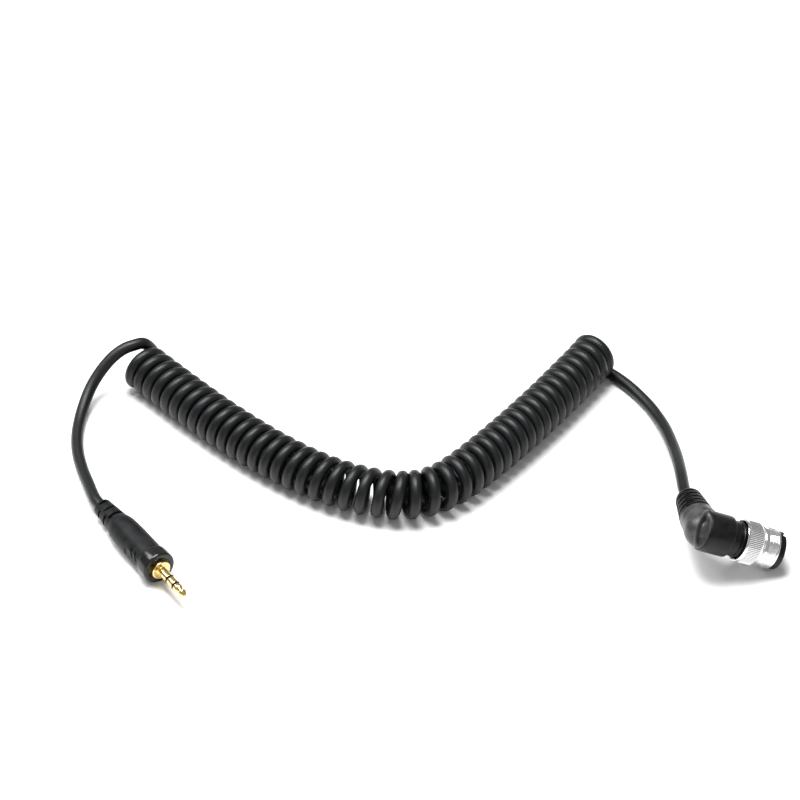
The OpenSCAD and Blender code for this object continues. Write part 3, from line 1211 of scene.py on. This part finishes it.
@dataclass
class CameraConnector:
    """The right-angle round connector with its elbow, barrel, lock ring and nose."""

    layout: Layout
    cord_r: float = 1.62
    ball_r: float = 4.9
    arm_r: float = 4.65
    barrel_r: float = 5.45
    barrel_len: float = 7.3
    neck_r: float = 4.65
    neck_end: float = 11.55
    ring_from: float = 10.4
    grip_to: float = 15.4
    ring_to: float = 20.2
    ring_r: float = 5.7
    knurl_r: float = 5.5
    collar_r: float = 5.25
    nose_end: float = 22.0
    nose_r: float = 5.05
    mouth_r: float = 3.9
    mouth_depth: float = 0.95
    knurls: int = 72
    ridge_r: float = 0.17
    threads: int = 7
    crest_r: float = 0.1
    dish_look: tuple[float, float, float] = (-0.41, -0.83, -0.375)
    dish_half: tuple[float, float] = (4.7, 1.75)
    dish_depth: float = 1.7
    dish_rim: float = 0.16

    def _boot(self, finish: bpy.types.Material) -> bpy.types.Object:
        """The slotted strain relief on the elbow's arm."""
        start = self.layout.arm_len + 0.02
        end = self.layout.arm_len + self.layout.relief_len
        profile = rounded(
            [
                Corner(self.cord_r, end), Corner(self.cord_r, start),
                Corner(self.arm_r, start, 0.2), Corner(3.5, end - 1.2, 0.8),
                Corner(2.7, end, 0.35),
            ],
            closed=True,
        )
        return slotted_boot(
            "elbow_boot", dense(profile, 0.07, True), 120, start + 0.58, 0.95, 9, 2.0, finish, 0.56
        )

    def _elbow(self) -> bpy.types.Object:
        """The ball and arm, with a fillet to the barrel and an oval dish on the outside."""
        arm_len, ball = self.layout.arm_len, self.ball_r
        arc = np.linspace(-math.pi / 2, math.radians(8), 60)
        arm = rounded(
            [
                Corner(4.78, 1.6), Corner(self.arm_r, 3, 0.8), Corner(self.arm_r, arm_len, 0.12),
                Corner(0, arm_len),
            ]
        )
        profile = np.vstack([[(ball * math.cos(a), ball * math.sin(a)) for a in arc], arm])
        to_elbow = self.layout.elbow().inverted() @ self.layout.arm()
        spin = np.array(to_elbow.to_3x3())
        look = np.array(self.dish_look)
        long_way = np.cross(look, (0.0, 0.0, 1.0))
        long_way /= np.linalg.norm(long_way)
        short_way = np.cross(look, long_way)

        def relief(
            r: np.ndarray, z: np.ndarray, turn: np.ndarray
        ) -> tuple[np.ndarray, np.ndarray]:
            """Sinks the oval dish, raises its rim and fills the corner to the barrel."""
            own = np.stack([r * np.cos(turn), r * np.sin(turn), z], axis=-1)
            p = own @ spin.T
            far = np.hypot(p[..., 0], p[..., 1]) - self.barrel_r
            near = np.maximum(1.8 - np.abs(far), 0) ** 2 / 7.2
            grow = near * smooth_step(p[..., 1], 1.5, 4.0) * smooth_step(p[..., 2], -2.5, 0.5)
            u, v = p @ long_way, p @ short_way
            oval = np.hypot(u / self.dish_half[0], v / self.dish_half[1])
            facing = (p @ look) > 0
            dish = -self.dish_depth * smooth_step(oval, 0.97, 0.72)
            rim = self.dish_rim * np.exp(-(((oval - 1.05) / 0.07) ** 2))
            grow = grow + (dish + rim) * facing
            length = np.maximum(np.linalg.norm(own, axis=-1), 1e-9)
            return r * (1 + grow / length), z * (1 + grow / length)

        return turned("elbow_moulding", dense(profile, 0.11), 240, False, relief)

    def _barrel(self) -> bpy.types.Object:
        """The barrel with its rounded edges."""
        r, end = self.barrel_r, self.barrel_len
        profile = rounded(
            [
                Corner(4.4, -0.18), Corner(r - 0.05, -0.18, 0.3), Corner(r, 0.9, 0.3),
                Corner(r, end - 0.75, 0.3), Corner(r - 0.12, end, 0.4), Corner(4.4, end),
            ],
            closed=True,
        )
        return turned("barrel_moulding", dense(profile, 0.5, True), 144, True)

    def _neck(self) -> bpy.types.Object:
        """The neck between barrel and lock ring, with a shallow waist."""
        r, start, end = self.neck_r, self.barrel_len, self.neck_end
        profile = rounded(
            [
                Corner(4.06, start - 2), Corner(4.38, start - 2), Corner(4.38, start),
                Corner(r, start + 0.02), Corner(r, start + 1.9, 0.2),
                Corner(r - 0.25, start + 2.2, 0.2), Corner(r - 0.25, start + 2.6, 0.2),
                Corner(r - 0.05, start + 2.8, 0.15), Corner(r - 0.05, end, 0.1),
                Corner(4.06, end),
            ],
            closed=True,
        )
        return turned("neck_moulding", dense(profile, 0.5, True), 144, True)

    def _lock_ring(self) -> bpy.types.Object:
        """The lock ring without its knurl and thread."""
        r, collar = self.ring_r, self.collar_r
        a, b, c = self.ring_from, self.grip_to, self.ring_to
        profile = rounded(
            [
                Corner(4.75, a + 0.9), Corner(5.35, a, 0.12), Corner(r - 0.03, a, 0.16),
                Corner(r, a + 0.75, 0.1), Corner(self.knurl_r, a + 0.85),
                Corner(self.knurl_r, b - 0.5), Corner(r - 0.35, b, 0.18),
                Corner(collar - 0.3, b + 0.02, 0.05), Corner(collar - 0.3, b + 0.4, 0.08),
                Corner(collar, b + 0.55, 0.08), Corner(collar, c - 0.95, 0.08),
                Corner(collar - 0.12, c - 0.85, 0.04), Corner(collar - 0.12, c - 0.7, 0.04),
                Corner(collar, c - 0.6, 0.08), Corner(collar, c, 0.14), Corner(4.06, c),
                Corner(4.06, 14.6), Corner(5.1, 14.6), Corner(5.1, 13.93), Corner(4.75, 13.93),
            ],
            closed=True,
        )
        return turned("lock_ring_turned", dense(profile, 0.6, True), 176, True)

    def _knurl(self, finish: bpy.types.Material) -> bpy.types.Object:
        """The straight ridges round the lock ring's grip."""
        length = self.grip_to - self.ring_from - 1.35
        tree = GeometryTree(
            "straight_knurl",
            {
                "Ridges": self.knurls,
                "Ring radius": (self.knurl_r - 0.02) * MM,
                "Ridge radius": self.ridge_r * MM,
                "Ridge length": length * MM,
                "Height": (self.ring_from + 0.82 + length / 2) * MM,
            },
        )
        circle = tree.node(
            "GeometryNodeMeshCircle",
            None,
            {"Vertices": tree.input("Ridges"), "Radius": tree.input("Ring radius")},
        )
        ridge = tree.node(
            "GeometryNodeMeshCylinder",
            None,
            {
                "Vertices": 8,
                "Radius": tree.input("Ridge radius"),
                "Depth": tree.input("Ridge length"),
            },
        )
        ridges = tree.repeat(circle.outputs[0], ridge.outputs[0])
        tree.close(tree.lift(ridges, "Height"), finish)
        made = tree.run("lock_ring_knurl", mesh_object("knurl_seed", np.zeros((1, 3)), ()))
        smooth(made, 50.0)
        return made

    def _thread(self, finish: bpy.types.Material) -> bpy.types.Object:
        """The fine thread on the lock ring's collar."""
        start, end = self.grip_to + 1.6, self.ring_to - 1.1
        tree = GeometryTree(
            "fine_thread",
            {
                "Turns": float(self.threads),
                "Thread radius": (self.collar_r - 0.02) * MM,
                "Crest": self.crest_r * MM,
                "Length": (end - start) * MM,
                "Start": start * MM,
            },
        )
        spiral = tree.node(
            "GeometryNodeCurveSpiral",
            None,
            {
                "Resolution": 96,
                "Rotations": tree.input("Turns"),
                "Start Radius": tree.input("Thread radius"),
                "End Radius": tree.input("Thread radius"),
                "Height": tree.input("Length"),
            },
        )
        thread = tree.sweep(spiral.outputs[0], tree.circle(6, "Crest"))
        tree.close(tree.lift(thread, "Start"), finish)
        made = tree.run("lock_ring_thread", mesh_object("thread_seed", np.zeros((1, 3)), ()))
        smooth(made, 70.0)
        return made

    def _nose(self) -> bpy.types.Object:
        """The black nose with its mouth and keyway."""
        r, end, floor = self.nose_r, self.nose_end, self.nose_end - self.mouth_depth
        profile = rounded(
            [
                Corner(3.2, 17), Corner(3.48, 17), Corner(3.48, 20.22), Corner(r, 20.22, 0.08),
                Corner(r, end, 0.34), Corner(self.mouth_r, end, 0.14),
                Corner(self.mouth_r, floor, 0.05), Corner(3.2, floor),
            ],
            closed=True,
        )

        def relief(
            r_in: np.ndarray, z: np.ndarray, turn: np.ndarray
        ) -> tuple[np.ndarray, np.ndarray]:
            """Cuts the keyway across the wall on the upper side."""
            across = np.abs(r_in * np.sin(turn))
            slot = smooth_step(across, 0.85, 0.72) * (np.cos(turn) < 0)
            return r_in, z - np.maximum(z - floor, 0) * slot

        return turned("nose_moulding", dense(profile, 0.15, True), 240, True, relief)

    def _contact_rims(self, finish: bpy.types.Material) -> bpy.types.Object:
        """The bright rims of the ten socket contacts."""
        circle_r, first_angle, inner_y = 2.3, 22.5, 0.8
        angles = [math.radians(45 * i + first_angle) for i in range(8)]
        places = [(circle_r * math.cos(a), circle_r * math.sin(a)) for a in angles]
        places += [(0, inner_y), (0, -inner_y)]
        seed = mesh_object("rim_seed", np.array([(x, y, 20.6) for x, y in places]) * MM, ())
        tree = GeometryTree("socket_rims", {"Rim radius": 0.33 * MM, "Bead": 0.07 * MM})
        rim = tree.sweep(tree.circle(24, "Rim radius"), tree.circle(8, "Bead"), caps=False)
        tree.close(tree.repeat(tree.geometry, rim), finish)
        made = tree.run("contact_rims", seed)
        smooth(made, 80.0)
        return made

    def build(
        self,
        soft: bpy.types.Material,
        grey: bpy.types.Material,
        hard: bpy.types.Material,
        chrome: bpy.types.Material,
        knurl_shade_chrome: bpy.types.Material,
        gold: bpy.types.Material,
    ) -> None:
        """Builds and dresses the connector's outer pieces.

        Args:
            soft: Material of the strain relief.
            grey: The elbow's material.
            hard: Material of the barrel, neck and nose.
            chrome: Material of the knurl and the thread.
            knurl_shade_chrome: Material of the lock ring under them, with a band of painted shade
                under the knurl.
            gold: The contacts' material.
        """
        axis, arm = self.layout.elbow(), self.layout.arm()
        cord_set, ring = Body.CORD_SET, Body.LOCKING_RING
        pieces = (
            (self._boot(soft), arm, soft, Slot.SOFT, cord_set, ("elbow_strain_relief",)),
            (self._elbow(), arm, grey, Slot.SOFT, cord_set, ("elbow_housing",)),
            (self._barrel(), axis, hard, Slot.HARD, cord_set, ("barrel",)),
            (self._neck(), axis, hard, Slot.HARD, cord_set, ("neck_bush",)),
            (self._nose(), axis, hard, Slot.HARD, cord_set, ("contact_nose",)),
            (self._contact_rims(gold), axis, gold, Slot.GOLD, cord_set, ()),
            (self._lock_ring(), axis, knurl_shade_chrome, Slot.CHROME, ring, ("lock_ring",)),
            (self._knurl(chrome), axis, chrome, Slot.CHROME, ring, ()),
            (self._thread(chrome), axis, chrome, Slot.CHROME, ring, ()),
        )
        for made, place, finish, slot, body, nodes in pieces:
            dress(placed(made, place), finish, body, nodes)


# ---- inner parts ----


@dataclass
class InnerParts:
    """The CAD nodes that keep their own shape and get a finish."""

    gold: bpy.types.Material
    jacket: bpy.types.Material

    def dress(self) -> None:
        """Dresses each carried-over node."""
        insulator = Moulding(
            "black_insulator", (0.003, 0.003, 0.003), 0.6, 0.1, depth=0.002
        ).build()
        white = Moulding("ivory_mould", (0.5, 0.48, 0.42), 0.55).build()
        wire = Moulding("red_wire_cover", (0.4, 0.03, 0.025), 0.4).build()
        block = Moulding("black_contact_block", (0.014, 0.014, 0.015), 0.42).build()
        brass = PlainMetal("stamped_brass", (0.62, 0.44, 0.18)).build()
        tin = PlainMetal("bright_tin", (0.66, 0.67, 0.69), 0.25).build()
        steel = PlainMetal("plain_steel", (0.5, 0.51, 0.53), 0.35).build()
        board = Board().build()
        rows = (
            (("plug_tip_insulator", "plug_ring_insulator"), insulator, Slot.INSULATOR),
            (("contact_block",), block, Slot.INSULATOR),
            (("plug_tip_lug", "plug_ring_lug"), brass, Slot.LUG),
            (("plug_inner_mould",), white, Slot.MOULD),
            (("plug_cable_end", "elbow_cable_end"), self.jacket, Slot.JACKET),
            (("plug_wires", "connector_wires"), wire, Slot.WIRE),
            (("plug_solder", "connector_solder"), tin, Slot.SOLDER),
            (("cable_ferrule", "connector_core", "ring_retainer"), steel, Slot.STEEL),
            (("contact_carrier",), board, Slot.BOARD),
            (("socket_contacts",), self.gold, Slot.GOLD),
        )
        for nodes, finish, slot in rows:
            for name in nodes:
                dress_node(name, finish)


# ---- camera, floor and light ----


@dataclass(frozen=True)
class Softbox:
    """One square soft light that faces the object: place and side in metres, power in watts."""

    name: str
    place: tuple[float, float, float]
    size: float
    power: float

    def build(self) -> None:
        """Makes the light."""
        data = bpy.data.lights.new(self.name, "AREA")
        data.shape = "SQUARE"
        data.size = self.size
        data.energy = self.power
        light = bpy.data.objects.new(self.name, data)
        light.location = self.place
        light.rotation_euler = (-Vector(self.place)).to_track_quat("-Z", "Y").to_euler()
        bpy.context.scene.collection.objects.link(light)


@dataclass
class Studio:
    """A pale floor, soft light and the camera."""

    aim: tuple[float, float, float] = (-0.0102, 0.0622, 0.0)
    distance: float = 1.4
    elevation: float = 42.0
    lens: float = 236.25
    sky: float = 0.35
    floor_half: float = 6.0
    softboxes: tuple[Softbox, ...] = (
        Softbox("overhead_light", (-0.15, 0.2, 1.1), 0.6, 23.0),
        Softbox("key_light", (-0.75, 0.35, 0.9), 0.4, 6.0),
        Softbox("front_fill", (0.3, -1.1, 1.0), 0.9, 1.8),
    )

    def camera(self) -> None:
        """Makes the camera."""
        data = bpy.data.cameras.new("view")
        data.lens = self.lens
        data.sensor_width = 36
        data.clip_start, data.clip_end = 0.05, 20
        camera = bpy.data.objects.new("view", data)
        raised = math.radians(self.elevation)
        away = Vector((0, -math.cos(raised), math.sin(raised))) * self.distance
        camera.location = Vector(self.aim) + away
        camera.rotation_euler = (math.pi / 2 - raised, 0, 0)
        bpy.context.scene.collection.objects.link(camera)
        bpy.context.scene.camera = camera

    def floor(self) -> None:
        """Makes the floor."""
        half = self.floor_half
        points = np.array([(-half, -half, 0), (half, -half, 0), (half, half, 0), (-half, half, 0)])
        floor = mesh_object("pale_floor", points, [(0, 1, 2, 3)])
        shader = Shader("pale_floor")
        cloud = shader.noise(400.0, 2.0)
        colour = shader.blend(cloud, (0.86, 0.86, 0.86), (0.88, 0.88, 0.88))
        finish = shader.close(Base_Color=colour, Roughness=0.6, Specular_IOR_Level=0.2)
        floor.data.materials.append(finish)

    def light(self) -> None:
        """Makes the sky and the soft lights."""
        world = bpy.data.worlds.new("white_room")
        world.use_nodes = True
        graph = Graph(world.node_tree)
        graph.tree.nodes.clear()
        back = graph.node("ShaderNodeBackground", None, {0: (1, 1, 1, 1), 1: self.sky})
        graph.node("ShaderNodeOutputWorld", None, {0: back.outputs[0]})
        bpy.context.scene.world = world
        for softbox in self.softboxes:
            softbox.build()
        view = bpy.context.scene.view_settings
        view.view_transform = "Standard"
        view.look = "None"


def main() -> None:
    """Builds the studio, the cord, the plug and the connector."""
    logging.basicConfig(level=logging.INFO, format="%(message)s")
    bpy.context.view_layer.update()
    layout = Layout()
    studio = Studio()
    studio.camera()
    jacket = Jacket().build()
    CurlyCord(layout).build(jacket)
    plug_axis, elbow_axis = layout.plug(), layout.elbow()
    soft = Moulding("soft_black_moulding", (0.004, 0.0045, 0.005), 0.48, 0.16).build()
    elbow = Moulding("elbow_grey_moulding", (0.034, 0.034, 0.035), 0.36, 0.4).build()
    hard = Moulding(
        "hard_black_moulding", (0.0025, 0.0025, 0.0027), 0.36, 0.22, depth=0.004
    ).build()
    gloss = Moulding(
        "gloss_black_moulding", (0.003, 0.003, 0.0035), 0.2, depth=0.002, coat=0.15
    ).build()
    gold = TurnedMetal(
        "gold_plating", (0.95, 0.72, 0.32), 0.16, point_on(plug_axis, 0), axis_of(plug_axis)
    ).build()
    plain = TurnedMetal(
        "satin_chrome", (0.86, 0.86, 0.87), 0.14, point_on(elbow_axis, 0), axis_of(elbow_axis), 0.97
    )
    chrome = plain.build()
    # Between these heights the lock ring's chrome gets a band of painted shade under the knurl
    # ridges.
    knurl_shade_chrome = replace(plain, name="chrome_painted_knurl_shade", dark_from=11.25, dark_to=14.85).build()
    JackPlug(layout).build(soft, gloss, gold)
    CameraConnector(layout).build(soft, elbow, hard, chrome, knurl_shade_chrome, gold)
    InnerParts(gold, jacket).dress()
    studio.floor()
    studio.light()


if __name__ == "__main__":
    main()
